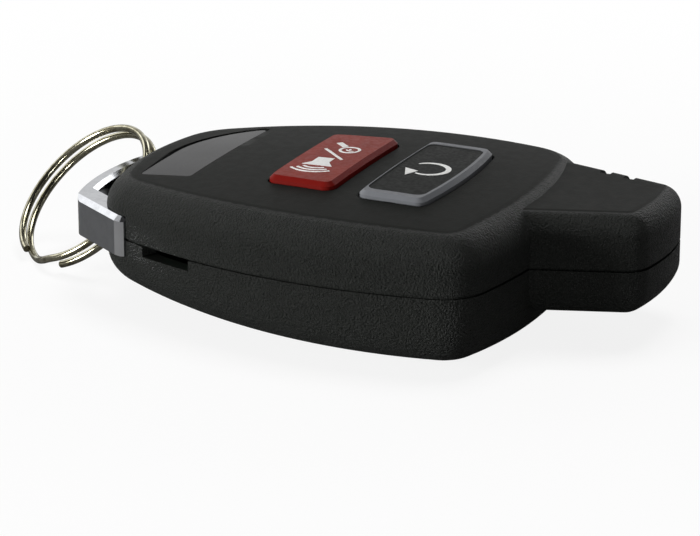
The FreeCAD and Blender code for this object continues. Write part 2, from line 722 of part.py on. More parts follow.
# Upper shell with its window and button openings
def window_plate(name, level, grow="0", groove=None):
    """Plate with the window's plan, widened by grow, and by groove instead where its rear edge is an arc."""
    groove = groove or grow
    arc_radius = "lens_rear_radius + (%s)" % groove
    rear = "lens_rear_radius + (%s)" % grow
    near = "lens_near_reach + (%s)" % grow
    front = "lens_rear_radius - lens_back + lens_front - (%s)" % grow
    rear_corner = vec(-size(rear), -size(near), 0)
    front_corner = vec(-size(front), -size(near), 0)
    turn = math.atan2(rear_corner.y, rear_corner.x) - math.acos(size(arc_radius) / rear_corner.Length)
    join = vec(math.cos(turn), math.sin(turn), 0) * size(arc_radius)
    tip = vec(-size(front), math.sqrt(size(arc_radius) ** 2 - size(front) ** 2), 0)
    body = new_body(name)
    sketch = new_sketch(body, name + "_plan", "XY_Plane", "lens_rear_radius - lens_back", level)
    sketch.addGeometry(arc_between((0, 0, size(arc_radius)), tip, join))
    for start, end in ((join, rear_corner), (rear_corner, front_corner), (front_corner, tip)):
        sketch.addGeometry(Part.LineSegment(start, end))
    link(sketch, "Coincident", 0, 3, -1, 1)
    link(sketch, "Tangent", 0, 2, 1, 1)
    for edge in (1, 2, 3):
        link(sketch, "Coincident", edge, 2, (edge + 1) % 4, 1)
    link(sketch, "Horizontal", 2)
    link(sketch, "Vertical", 3)
    dimension(sketch, "Radius", 0, to=arc_radius)
    dimension(sketch, "DistanceX", 1, 2, -1, 1, to=rear)
    dimension(sketch, "DistanceY", 1, 2, -1, 1, to=near)
    dimension(sketch, "DistanceX", 3, 1, -1, 1, to=front)
    pad(body, sketch, "crown_rise")
    round_edges(body, name + "_corners", "lens_corner",
                lambda edge: upright(edge) and abs(edge.CenterOfMass.y) > size("lens_near_reach") / 2)
    return body


lens_opening = window_plate("lens_opening", LENS_LEVEL, "lens_gap", "lens_groove")
lens_hole = window_plate("lens_hole", "parting_level", "-lens_ledge")
panic_opening = panel("panic_opening", "-panic_back", "panic_length", "panic_rear_half", "panic_front_half",
                      "button_corner", CASE_TOP + " - 3 * wall", "6 * wall", grow="button_gap")
start_opening = panel("start_opening", "start_front", "start_length", "start_half", "start_half",
                      "button_corner", CASE_TOP + " - 3 * wall", "6 * wall", "start_end_radius",
                      "button_gap")
notches = []
for index in range(2):
    x = "notch_first + %d * notch_spacing" % index
    taper = "(nose_root_half - nose_tip_half) * (%s - nose_root_reach) / %s" % (x, NOSE_LENGTH)
    wall_y = "nose_offset + nose_root_half - " + taper
    notches.append(box("notch_%d" % index, "notch_width", "notch_run + margin", "notch_depth + margin", x,
                       "%s - notch_run" % wall_y, "parting_level + nose_rise - notch_depth"))
upper_hollow = cut("upper_hollow", outer_top, room_top)
upper_shell = cut("upper_shell", upper_hollow, lip_groove, lens_opening, lens_hole, panic_opening,
                  start_opening, rear_cuts, seam, *notches)

# Lower shell with its lip, board posts and pry slot
posts = []
pins = []
pin_holes = []
for index, (reach, half) in enumerate((("-rear_post_reach", "rear_post_half"),
                                       ("front_post_reach", "front_post_half"))):
    for sign in "+-":
        y = sign + half
        tag = "%d%s" % (index, "far" if sign == "+" else "near")
        posts.append(cylinder("post_" + tag, "post_diameter", BOARD_UNDER, reach, y, "0"))
        pins.append(cylinder("pin_" + tag, "pin_diameter", "board_thickness + pin_rise", reach, y,
                             BOARD_UNDER))
        pin_holes.append(cylinder("pin_hole_" + tag, "pin_diameter + 2 * pin_gap", "3 * board_thickness",
                                  reach, y, BOARD_UNDER + " - board_thickness"))
post_group = common("post_group", fuse("post_blanks", *posts), outer_bottom)
lower_hollow = cut("lower_hollow", outer_bottom, room_bottom)
lower_solid = fuse("lower_solid", lower_hollow, lip, post_group, *pins)
pry_turn = "asin((pry_centre + widest_reach) / side_radius)"
pry_slot = doc.addObject("Part::Box", "pry_slot")
bind(pry_slot, Length="pry_length", Width="pry_depth + margin", Height="pry_height",
     Placement__Rotation__Angle="-" + pry_turn)
pry_y = "(side_radius - body_half_width - side_radius * cos(%s))" % pry_turn
place(pry_slot, "-pry_centre - pry_length / 2 * cos(%s) - margin * sin(%s)" % (pry_turn, pry_turn),
      "%s + pry_length / 2 * sin(%s) - margin * cos(%s)" % (pry_y, pry_turn, pry_turn),
      "parting_level - pry_height")
below_rest = box("below_rest", "4 * front_reach", "4 * body_half_width", "margin", "-2 * front_reach",
                 "-2 * body_half_width", "-margin")
lower_shell = cut("lower_shell", lower_solid, rear_cuts, pry_slot, below_rest)

# Window lens, crowned with the case
lens_blank = window_plate("lens_blank", LENS_LEVEL)
window_lens = common("window_lens", lens_blank, outer_top)


# Buttons: crowned cap, retaining flange and stem
def button(name, back, length, rear_half, front_half, proud, end_radius=None):
    """Button that stands proud of the crown by proud."""
    rise = "crown_rise + " + proud
    far_x = "%s + (%s) + button_flange" % (back, length)
    near_x = "%s - button_flange" % back
    half = "(%s) + button_flange" % front_half
    sags = [ceiling_sag(x, half) for x in (near_x, far_x)]
    sag = max(sags, key=size)
    flange_top = "parting_level + crown_rise - wall - %s - flange_play" % sag
    flange_level = flange_top + " - flange_thickness"
    plan = (back, length, rear_half, front_half, "button_corner")
    body = panel(name, *plan, flange_level, "crown_rise", end_radius)
    crown_cut(body, name + "_crown", rise, "crown_reach", "crown_length_radius + " + proud,
              "crown_cross_radius + " + proud, 1)
    round_edges(body, name + "_edge", "button_edge", edges_of_end(body.Tip.Shape, 1), "PartDesign::Chamfer")
    flange = new_sketch(body, name + "_flange", "XY_Plane", back + " - button_flange", flange_level)
    tapered_outline(flange, "(%s) + 2 * button_flange" % length, "(%s) + button_flange" % rear_half, half,
                    end_radius)
    pad(body, flange, "flange_thickness")
    stem = new_sketch(body, name + "_stem", "XY_Plane", "%s + (%s) / 2" % (back, length), flange_level)
    stem.addGeometry(Part.Circle(vec(0, 0, 0), vec(0, 0, 1), size("plunger_diameter / 2")))
    link(stem, "Coincident", 0, 3, -1, 1)
    dimension(stem, "Radius", 0, to="plunger_diameter / 2")
    pad(body, stem, "%s - (%s) - plunger_play" % (flange_level, PLUNGER_TOP), down=True)
    return body


red_button = button("red_button", "-panic_back", "panic_length", "panic_rear_half", "panic_front_half",
                    "panic_proud")
start_cap = button("start_cap", "start_front", "start_length", "start_half", "start_half", "start_proud",
                   "start_end_radius")
inlay_half = "start_half - rim_end"
inlay_far = "start_front + start_length"
INLAY_LEVEL = CASE_TOP + " + start_proud - inlay_depth - " + ceiling_sag(inlay_far, inlay_half)
inlay_plan = ("start_front + rim_side", "start_length - 2 * rim_side", inlay_half, inlay_half,
              "button_corner")
inlay_pocket = panel("inlay_pocket", *inlay_plan, INLAY_LEVEL, "crown_rise", "start_end_radius")
start_button_rim = cut("start_button_rim", start_cap, inlay_pocket)
start_button_face = panel("start_button_face", *inlay_plan, INLAY_LEVEL, "2 * inlay_depth",
                          "start_end_radius")
crown_cut(start_button_face, "inlay_crown", "crown_rise + start_proud - inlay_sink", "crown_reach",
          "crown_length_radius + start_proud", "crown_cross_radius + start_proud", 1)

# Circuit board
board_blank = footprint("board_blank", "wall + board_gap", "rear_block + board_gap", BOARD_UNDER,
                        "board_thickness")
circuit_board = cut("circuit_board", board_blank, *pin_holes)


# Tactile switches under the buttons
def tactile_switch(name, x):
    """Base, cover and plunger of a switch on the board."""
    bore = cylinder(name + "_bore", "plunger_diameter + 2 * plunger_gap", "2 * switch_base_height", x, "0",
                    BOARD_TOP + " + plunger_travel")
    blank = block(name + "_blank", "switch_width", "switch_width", "switch_base_height", x, "0", BOARD_TOP)
    plate = block(name + "_plate", "switch_width", "switch_width", "switch_cover", x, "0",
                  BOARD_TOP + " + switch_base_height")
    plunger_foot = "(%s + 2 * plunger_travel + plunger_gap)" % BOARD_TOP
    plunger = cylinder(name + "_plunger", "plunger_diameter", "%s - %s" % (PLUNGER_TOP, plunger_foot), x, "0",
                       plunger_foot)
    return cut(name + "_base", blank, bore), cut(name + "_cover", plate, bore), plunger


PANIC_X = "-panic_back + panic_length / 2"
START_X = "start_front + start_length / 2"
panic_switch = tactile_switch("panic_switch", PANIC_X)
start_switch = tactile_switch("start_switch", START_X)

# Battery, its spring-metal clip and the contact pad under the board
cell_level = CELL_TOP + " - cell_height"
can = cylinder("cell_can", "cell_diameter", "cell_can_height", "cell_centre", "0", cell_level)
cap = cylinder("cell_cap", "cell_cap_diameter", "cell_height", "cell_centre", "0", cell_level)
battery_cell = fuse("battery_cell", can, cap)
contact_pad = block("contact_pad", "contact_width", "contact_width", "contact_thickness", "cell_centre", "0",
                    CELL_TOP)
clip_level = "(%s - clip_thickness)" % cell_level
clip_half = "(cell_diameter / 2 + clip_gap)"
clip_base = block("clip_base", "clip_width", "2 * (%s + clip_thickness)" % clip_half, "clip_thickness",
                  "cell_centre", "0", clip_level)
clip_side = block("clip_side", "clip_width", "clip_thickness", "%s - %s" % (BOARD_UNDER, clip_level),
                  "cell_centre", "%s + clip_thickness / 2" % clip_half, clip_level)
battery_clip = fuse("battery_clip", clip_base, clip_side, mirror("clip_side_near", clip_side))

# Chips and small parts on the board: length, width, height and where they stand
CHIPS = {
    "controller_chip": ("controller_side", "controller_side", "controller_height",
                        "-controller_back", "controller_across"),
    "radio_can": ("radio_length", "radio_width", "radio_height", "radio_reach", "radio_across"),
    "crystal_can": ("crystal_length", "crystal_width", "crystal_height", "radio_reach", "-crystal_across"),
    "status_led": ("led_length", "led_width", "led_height", "-led_back", "0"),
}
chips = {}
for name, dims in CHIPS.items():
    chips[name] = block(name, *dims, BOARD_TOP)
small_parts = []
for row in range(2):
    for column in range(4):
        small_parts.append(block("small_part_%d_%d" % (row, column), "chip_length", "chip_width",
                                 "chip_height", "chips_reach + %d * chip_spacing" % column,
                                 "-chips_across - %d * chip_row_spacing" % row, BOARD_TOP))
chip_parts = fuse("chip_parts", *small_parts)


# Wound wire: one unbroken tube on arcs of a quarter turn and less
def tangent_arc(start, tangent, end):
    """Arc from start to end that leaves start along tangent."""
    chord = end - start
    direct = vec(chord).normalize()
    across = tangent - direct * tangent.dot(direct)
    if across.Length < 1e-6:
        return Part.LineSegment(start, end).toShape()
    angle = math.acos(max(-1.0, min(1.0, tangent.dot(direct))))
    middle = (start + end) * 0.5 + across.normalize() * (chord.Length / 2 * math.tan(angle / 2))
    return Part.Arc(start, middle, end).toShape()


def biarc(start, start_tangent, end, end_tangent):
    """Two arcs that join two points with the given tangents."""
    chord = end - start
    turn = start_tangent + end_tangent
    square = 2 * (1 - start_tangent.dot(end_tangent))
    along = chord.dot(turn)
    reach = (-along + math.sqrt(along ** 2 + square * chord.dot(chord))) / square
    knee = (start + end + (start_tangent - end_tangent) * reach) * 0.5
    first = tangent_arc(start, start_tangent, knee)
    leave = ((end - end_tangent * reach) - knee).normalize()
    return [first, tangent_arc(knee, leave, end)]


def tube(edges, wire_diameter, start, tangent):
    """Round wire along the edges."""
    circle = Part.makeCircle(wire_diameter / 2, start, tangent)
    return Part.Wire(edges).makePipeShell([Part.Wire([circle])], True, False)


def wound(route, stops, leave=None, arrive=None):
    """Biarcs through a route of the turn angle in degrees; leave and arrive fix the end directions."""
    step = 0.01
    points = [route(stop) for stop in stops]
    tangents = [(route(stop + step) - route(stop - step)).normalize() for stop in stops]
    tangents[0] = leave or tangents[0]
    tangents[-1] = arrive or tangents[-1]
    edges = []
    for index in range(len(stops) - 1):
        edges += biarc(points[index], tangents[index], points[index + 1], tangents[index + 1])
    return edges, points, tangents


def least_gap(route, last, wire_diameter):
    """Least clear distance between stretches of a wound wire that are over half a turn from each other."""
    samples = 400
    stops = [last * index / samples for index in range(samples + 1)]
    points = [route(stop) for stop in stops]
    gap = min((points[i] - points[j]).Length for i in range(samples) for j in range(i + 1, samples + 1)
              if stops[j] - stops[i] > 180)
    return gap - wire_diameter


ring_radius = size("ring_radius")
ring_pitch = size("ring_pitch")
ring_split = size("ring_split")
ring_end = 720.0 - ring_split


def ring_route(angle):
    """Centre line of the split ring in its own plane: one turn, a step across, and a second turn."""
    step_start = 360.0 - ring_split
    share = min(1.0, max(0.0, (angle - step_start) / ring_split))
    ease = share * share * (3 - 2 * share)
    turn = math.radians(angle)
    return vec(ring_radius * math.cos(turn), ring_radius * math.sin(turn), ring_pitch * (ease - 0.5))


ring_step = (360.0 - ring_split) / 5
first_turn = [ring_step * index for index in range(6)]
second_turn = [360.0 + ring_step * index for index in range(6)]
ring_stops = first_turn + [360.0 - ring_split / 2] + second_turn
ring_edges, ring_points, ring_tangents = wound(ring_route, ring_stops)
split_ring = doc.addObject("Part::Feature", "split_ring")
split_ring.Shape = tube(ring_edges, size("ring_wire"), ring_points[0], ring_tangents[0])
ring_normal = vec(*[size("ring_normal_" + axis) for axis in "xyz"])
ring_centre = vec(*[size("ring_centre_" + axis) for axis in "xyz"])
ring_roll = FreeCAD.Rotation(vec(0, 0, 1), size("ring_roll"))
ring_tilt = FreeCAD.Rotation(vec(0, 0, 1), ring_normal)
split_ring.Placement = FreeCAD.Placement(ring_centre, ring_tilt * ring_roll)
print("split ring least gap", round(least_gap(ring_route, ring_end, size("ring_wire")), 3))

# Aerial coil in the nose, with two legs that stand on the board
coil_radius = size("coil_radius")
coil_pitch = size("coil_pitch")
coil_end = size("coil_turns") * 360.0 + 180.0
coil_axis = vec(size("coil_start"), size("nose_offset"), size(BOARD_TOP) + size("coil_rise"))


def coil_route(angle):
    """Centre line of the aerial coil, from its near leg to its far leg."""
    turn = math.radians(angle)
    around = vec(0, -coil_radius * math.cos(turn), coil_radius * math.sin(turn))
    return coil_axis + around + vec(coil_pitch * angle / 360, 0, 0)


up = vec(0, 0, 1)
coil_stops = [90.0 * index for index in range(int(coil_end // 90) + 1)]
coil_edges, coil_points, coil_tangents = wound(coil_route, coil_stops, up, -up)
first_foot = vec(coil_points[0].x, coil_points[0].y, size(BOARD_TOP))
last_foot = vec(coil_points[-1].x, coil_points[-1].y, size(BOARD_TOP))
first_leg = Part.LineSegment(first_foot, coil_points[0]).toShape()
last_leg = Part.LineSegment(coil_points[-1], last_foot).toShape()
aerial_coil = doc.addObject("Part::Feature", "aerial_coil")
aerial_coil.Shape = tube([first_leg] + coil_edges + [last_leg], size("coil_wire"), first_foot, up)
print("aerial coil least gap", round(least_gap(coil_route, coil_end, size("coil_wire")), 3))

# Sub-parts by node name
NODES = {
    "upper_shell": upper_shell,
    "lower_shell": lower_shell,
    "window_lens": window_lens,
    "red_button": red_button,
    "start_button_rim": start_button_rim,
    "start_button_face": start_button_face,
    "key_bracket": key_bracket,
    "split_ring": split_ring,
    "circuit_board": circuit_board,
    "panic_switch_base": panic_switch[0],
    "panic_switch_cover": panic_switch[1],
    "panic_switch_plunger": panic_switch[2],
    "start_switch_base": start_switch[0],
    "start_switch_cover": start_switch[1],
    "start_switch_plunger": start_switch[2],
    "battery_cell": battery_cell,
    "battery_clip": battery_clip,
    "contact_pad": contact_pad,
    "controller_chip": chips["controller_chip"],
    "radio_can": chips["radio_can"],
    "crystal_can": chips["crystal_can"],
    "status_led": chips["status_led"],
    "chip_parts": chip_parts,
    "aerial_coil": aerial_coil,
}
doc.recompute()
for thing in doc.Objects:
    if "Invalid" in thing.State or "Error" in thing.State:
        raise RuntimeError("%s failed: %s" % (thing.Name, thing.State))
for name, thing in NODES.items():
    thing.Label = name
    if thing.Shape.isNull() or not thing.Shape.isValid():
        raise RuntimeError(name + " has no valid shape")
os.makedirs("parts", exist_ok=True)
for name, thing in NODES.items():
    thing.Shape.exportStep("parts/%s.step" % name)
    print(name, len(thing.Shape.Solids), round(thing.Shape.Volume, 2))
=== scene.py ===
import json
import math
import bmesh
import bpy
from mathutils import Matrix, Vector
from mathutils.bvhtree import BVHTree


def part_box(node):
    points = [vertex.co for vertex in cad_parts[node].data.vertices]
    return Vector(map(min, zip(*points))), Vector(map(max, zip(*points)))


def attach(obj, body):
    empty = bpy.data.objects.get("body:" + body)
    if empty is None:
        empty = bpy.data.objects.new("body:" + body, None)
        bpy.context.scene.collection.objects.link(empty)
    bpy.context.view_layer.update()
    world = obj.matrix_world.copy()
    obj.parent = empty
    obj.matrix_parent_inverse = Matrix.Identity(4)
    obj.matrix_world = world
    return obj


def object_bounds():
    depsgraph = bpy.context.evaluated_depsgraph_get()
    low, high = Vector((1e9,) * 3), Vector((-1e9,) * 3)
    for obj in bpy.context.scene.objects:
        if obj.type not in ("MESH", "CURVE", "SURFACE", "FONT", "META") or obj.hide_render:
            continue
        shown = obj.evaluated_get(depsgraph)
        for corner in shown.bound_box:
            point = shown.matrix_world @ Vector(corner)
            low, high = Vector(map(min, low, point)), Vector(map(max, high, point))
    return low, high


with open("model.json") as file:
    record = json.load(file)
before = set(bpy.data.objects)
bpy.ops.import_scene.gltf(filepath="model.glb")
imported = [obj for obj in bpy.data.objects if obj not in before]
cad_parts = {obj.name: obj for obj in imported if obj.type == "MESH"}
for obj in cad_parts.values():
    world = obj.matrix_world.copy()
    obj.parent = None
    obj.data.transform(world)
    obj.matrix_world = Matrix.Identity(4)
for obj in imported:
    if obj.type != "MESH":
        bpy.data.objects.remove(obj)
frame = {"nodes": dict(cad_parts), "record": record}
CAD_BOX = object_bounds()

MM = 0.001
WHOLE = (0.0, 1.0)              # a range from none to all

# Colours of the surfaces, linear
CASE_BLACK = (0.0118, 0.0125, 0.0112)
CASE_SIDE = (0.0175, 0.0190, 0.0172)            # lighter specks on the grained sides
LENS_SMOKE = (0.020, 0.020, 0.021)
LENS_HAZE = ((0.028, 0.028, 0.029), (0.038, 0.038, 0.039))
# the red cap's upward face, lighter than its own deep red by a painted sheen
RED_TOP_PAINTED_SHEEN = (0.215, 0.028, 0.019)
RED_SIDE = (0.135, 0.007, 0.005)
GREY_RIM = (0.135, 0.140, 0.150)
# painted highlight on the frame's upward faces
GREY_RIM_PAINTED_HIGHLIGHT = (0.150, 0.155, 0.166)
INLAY_DARK = (0.020, 0.021, 0.020)
CHROME_FACE = (0.44, 0.45, 0.47)
# near-white painted reflection on the tips of the bracket's arms
CHROME_PAINTED_GLINT = (0.90, 0.91, 0.93)
BOARD_GREEN = (0.01, 0.12, 0.05)
BOARD_CLOUD = (0.012, 0.09, 0.045)
BOARD_FIELDS = ((0.008, 0.085, 0.035), (0.010, 0.105, 0.042))
BOARD_TRACK = (0.030, 0.200, 0.085)
INK_WHITE = (0.80, 0.80, 0.78)
PLAIN_WHITE = (1.0, 1.0, 1.0)

# Parts of the normal over which a surface changes its look
DECK_TO_SIDE = (0.992, 0.93)            # upward part, from the case's smooth deck to its grained sides
MESH_DECK_TO_SIDE = (0.995, 0.990)      # the same for the mesh's own faces
# upward part over which the red cap turns to its painted sheen
RED_SIDE_TO_PAINTED_SHEEN = (0.82, 0.97)
# upward part over which the grey frame turns to its painted highlight
GREY_SIDE_TO_PAINTED_HIGHLIGHT = (0.45, 0.9)
CHROME_TO_PAINTED_GLINT = (0.86, 0.91)            # sideways part, to the painted reflection on the tips of the bracket's arms

# Depths of grain and scuffs, and parts of a noise's range that are spread out
SPARK_GRAIN = 0.6 * MM
FINE_GRAIN = 0.03 * MM
SCUFFS = 0.02 * MM
NOISE_SPAN = (0.3, 0.7)
CAST_SPAN = (0.35, 0.7)
SPECK_SPAN = (0.35, 0.65)
SCUFF_SPAN = (0.4, 0.8)


# Nodes of materials and of the world
def add(owner, kind, inputs=None, **settings):
    """Add a node to a material or world; an input takes a plain value or another node's socket."""
    tree = owner.node_tree
    node = tree.nodes.new(kind)
    for name, value in settings.items():
        setattr(node, name, value)
    for name, value in (inputs or {}).items():
        if isinstance(value, bpy.types.NodeSocket):
            tree.links.new(value, node.inputs[name])
        else:
            node.inputs[name].default_value = value
    return node


def calculate(owner, operation, first, second=0.0):
    """Result of a sum or a comparison; operations on one value ignore the second."""
    return add(owner, "ShaderNodeMath", {0: first, 1: second}, operation=operation).outputs[0]


def times(owner, first, second):
    return calculate(owner, "MULTIPLY", first, second)


def measure(owner, operation, first, second=(0.0, 0.0, 0.0)):
    """Length of a vector, or another single number made from one or two vectors."""
    return add(owner, "ShaderNodeVectorMath", {0: first, 1: second}, operation=operation).outputs["Value"]


def part_of(owner, vector, axis):
    return add(owner, "ShaderNodeSeparateXYZ", {"Vector": vector}).outputs[axis]


def ramp(owner, value, span, values=WHOLE):
    """Value taken smoothly from one range to another, clamped."""
    inputs = dict(zip(("Value", "From Min", "From Max", "To Min", "To Max"), (value, *span, *values)))
    return add(owner, "ShaderNodeMapRange", inputs, interpolation_type="SMOOTHSTEP").outputs["Result"]


def place_of(material):
    """Coordinates fixed to the object, in metres."""
    return add(material, "ShaderNodeTexCoord").outputs["Object"]


def noise(material, scale, detail=2.0, roughness=0.5, stretch=None):
    """Noise with cells of about 1 / scale metres; stretch scales it along the axes."""
    where = place_of(material)
    if stretch:
        where = add(material, "ShaderNodeMapping", {"Vector": where, "Scale": stretch}).outputs["Vector"]
    inputs = {"Vector": where, "Scale": scale, "Detail": detail, "Roughness": roughness}
    return add(material, "ShaderNodeTexNoise", inputs).outputs["Fac"]


def mottle(material, scale, values=WHOLE, detail=3.0):
    """Soft noise between two values."""
    return ramp(material, noise(material, scale, detail), NOISE_SPAN, values)


def facing(material, axis):
    """One part of the object's own normal."""
    return part_of(material, add(material, "ShaderNodeTexCoord").outputs["Normal"], axis)


def unsmoothed_upness(material):
    """How far the mesh's own faces look up, without smoothing."""
    normal = add(material, "ShaderNodeNewGeometry").outputs["True Normal"]
    turned = add(material, "ShaderNodeVectorTransform", {"Vector": normal},
                 vector_type="NORMAL", convert_from="WORLD", convert_to="OBJECT")
    return part_of(material, turned.outputs["Vector"], "Z")


def rgba(color):
    """Opaque colour for a socket; a colour that is a socket itself stays as it is."""
    return color if isinstance(color, bpy.types.NodeSocket) else (*color, 1.0)


def darker(color, share):
    return tuple(share * part for part in color)


# Sockets of a mix node that serve when it mixes colours
MIX_SHARE = 0
MIX_FIRST = 6
MIX_SECOND = 7
MIX_RESULT = 2


def blend_color(material, share, first, second):
    """Colour between two, either of which may be a socket."""
    inputs = {MIX_SHARE: share, MIX_FIRST: rgba(first), MIX_SECOND: rgba(second)}
    return add(material, "ShaderNodeMix", inputs, data_type="RGBA").outputs[MIX_RESULT]


def shader_of(material):
    return next(node for node in material.node_tree.nodes if node.type == "BSDF_PRINCIPLED")


def new_material(name, color, roughness, metallic=0.0, specular=0.5):
    """Principled material with plain values, which show where nothing is linked over them."""
    material = bpy.data.materials.new(name)
    material.use_nodes = True
    inputs = shader_of(material).inputs
    inputs["Base Color"].default_value = rgba(color)
    inputs["Roughness"].default_value = roughness
    inputs["Metallic"].default_value = metallic
    inputs["Specular IOR Level"].default_value = specular
    return material


def feed(material, name, socket):
    """Link a socket to one of the shader's inputs."""
    material.node_tree.links.new(socket, shader_of(material).inputs[name])


def set_color(material, socket):
    feed(material, "Base Color", socket)


def set_roughness(material, socket):
    feed(material, "Roughness", socket)


def set_bump(material, height, strength, distance):
    """Bump of distance metres; height may hold its own mask."""
    inputs = {"Height": height, "Strength": strength, "Distance": distance}
    feed(material, "Normal", add(material, "ShaderNodeBump", inputs).outputs["Normal"])


# Materials
def moulded_black():
    """Black moulded plastic: spark-eroded grain on the sides, smooth and duller round the buttons."""
    material = new_material("case_black", CASE_BLACK, roughness=0.5)
    rounded = ramp(material, facing(material, "Z"), DECK_TO_SIDE)
    sides = times(material, rounded, ramp(material, unsmoothed_upness(material), MESH_DECK_TO_SIDE))
    grain = noise(material, scale=4300, roughness=0.6)
    speck = ramp(material, noise(material, scale=5200, roughness=0.6), SPECK_SPAN, (0.55, 1.0))
    cloud = mottle(material, 260, (0.85, 1.0))
    share = times(material, times(material, speck, sides), cloud)
    set_color(material, blend_color(material, share, CASE_BLACK, CASE_SIDE))
    feed(material, "Specular IOR Level", ramp(material, sides, WHOLE, (0.02, 0.15)))
    set_roughness(material, mottle(material, 900, (0.46, 0.50)))
    depth = ramp(material, sides, WHOLE, (0.03, 1.0))
    set_bump(material, times(material, grain, depth), 1.0, SPARK_GRAIN)
    return material


def smoked_lens():
    """Smoked acrylic with faint haze and hairline scuffs."""
    material = new_material("smoked_lens", LENS_SMOKE, roughness=0.14, specular=0.035)
    set_color(material, blend_color(material, mottle(material, 120, detail=2.0), *LENS_HAZE))
    scuff = noise(material, scale=3000, roughness=0.6, stretch=(1.0, 0.06, 1.0))
    set_roughness(material, ramp(material, scuff, SCUFF_SPAN, (0.10, 0.22)))
    set_bump(material, scuff, 0.03, SCUFFS)
    return material


def red_plastic():
    """Satin red cap: deep red on its sides, its upward face lightened by a painted sheen."""
    material = new_material("button_red", RED_TOP_PAINTED_SHEEN, roughness=0.42, specular=0.04)
    # painted sheen: the upward face is made lighter than the deep red sides
    face = ramp(material, facing(material, "Z"), RED_SIDE_TO_PAINTED_SHEEN)
    painted_sheen_top = blend_color(material, mottle(material, 420), RED_TOP_PAINTED_SHEEN, darker(RED_TOP_PAINTED_SHEEN, 0.86))
    set_color(material, blend_color(material, face, RED_SIDE, painted_sheen_top))
    set_roughness(material, mottle(material, 2200, (0.34, 0.48)))
    set_bump(material, noise(material, scale=5200), 0.12, FINE_GRAIN)
    return material


def grey_plastic():
    """Satin grey frame of the start button, lighter along its upper edge by a painted highlight."""
    material = new_material("button_grey", GREY_RIM, roughness=0.42, specular=0.10)
    # painted highlight: upward faces are blended towards a lighter grey
    face = ramp(material, facing(material, "Z"), GREY_SIDE_TO_PAINTED_HIGHLIGHT)
    share = times(material, face, mottle(material, 500, (0.7, 1.0)))
    set_color(material, blend_color(material, share, GREY_RIM, GREY_RIM_PAINTED_HIGHLIGHT))
    set_roughness(material, mottle(material, 2600, (0.36, 0.5)))
    set_bump(material, noise(material, scale=6000), 0.15, FINE_GRAIN)
    return material


def dark_inlay():
    """Satin dark grey inlay with fine grain."""
    material = new_material("button_dark", INLAY_DARK, roughness=0.46, specular=0.02)
    set_color(material, blend_color(material, mottle(material, 700), INLAY_DARK, darker(INLAY_DARK, 0.8)))
    set_roughness(material, mottle(material, 2600, (0.40, 0.55)))
    set_bump(material, noise(material, scale=6000), 0.12, FINE_GRAIN)
    return material


def metal(name, color, roughness, tarnish, scale, streak=(1.0, 1.0, 1.0)):
    """Metal whose colour and gloss vary with fine handling marks."""
    material = new_material(name, color, roughness, metallic=1.0)
    cloud = ramp(material, noise(material, scale, 4.0, 0.6, streak), CAST_SPAN)
    set_color(material, blend_color(material, cloud, color, tarnish))
    set_roughness(material, ramp(material, cloud, WHOLE, (roughness, roughness * 1.6)))
    set_bump(material, noise(material, scale * 6, stretch=streak), 0.05, SCUFFS)
    return material


def chrome_with_painted_glint():
    """Chrome, brighter by a painted reflection where the arms' tips turn to face straight out."""
    material = metal("bracket_chrome", CHROME_FACE, 0.10, darker(CHROME_FACE, 0.88), 700)
    mottled = shader_of(material).inputs["Base Color"].links[0].from_socket
    # painted reflection: the tips, facing straight out, are lightened towards near white
    across = calculate(material, "ABSOLUTE", facing(material, "Y"))
    painted_glint = ramp(material, across, CHROME_TO_PAINTED_GLINT)
    set_color(material, blend_color(material, painted_glint, mottled, CHROME_PAINTED_GLINT))
    return material


def moulding(name, color, second, roughness, scale=900, bump=0.2):
    """Plain moulded or cast material with mottled colour and fine grain."""
    material = new_material(name, color, roughness)
    cloud = ramp(material, noise(material, scale, detail=3.0), CAST_SPAN)
    set_color(material, blend_color(material, cloud, color, second))
    gloss = (roughness * 0.85, roughness * 1.15)
    set_roughness(material, mottle(material, scale * 3, gloss, detail=2.0))
    set_bump(material, noise(material, scale * 5), bump, FINE_GRAIN)
    return material


def board_green():
    """Green solder mask over a faint grid of tracks."""
    material = new_material("board_green", BOARD_GREEN, roughness=0.32)
    grid = {"Vector": place_of(material), "Scale": 420.0, "Mortar Size": 0.045}
    fields = {"Color1": rgba(BOARD_FIELDS[0]), "Color2": rgba(BOARD_FIELDS[1])}
    tracks = add(material, "ShaderNodeTexBrick", {**grid, **fields, "Mortar": rgba(BOARD_TRACK)})
    cloud = mottle(material, 300, (0.0, 0.35))
    set_color(material, blend_color(material, cloud, tracks.outputs["Color"], BOARD_CLOUD))
    set_bump(material, tracks.outputs["Fac"], 0.2, FINE_GRAIN)
    return material


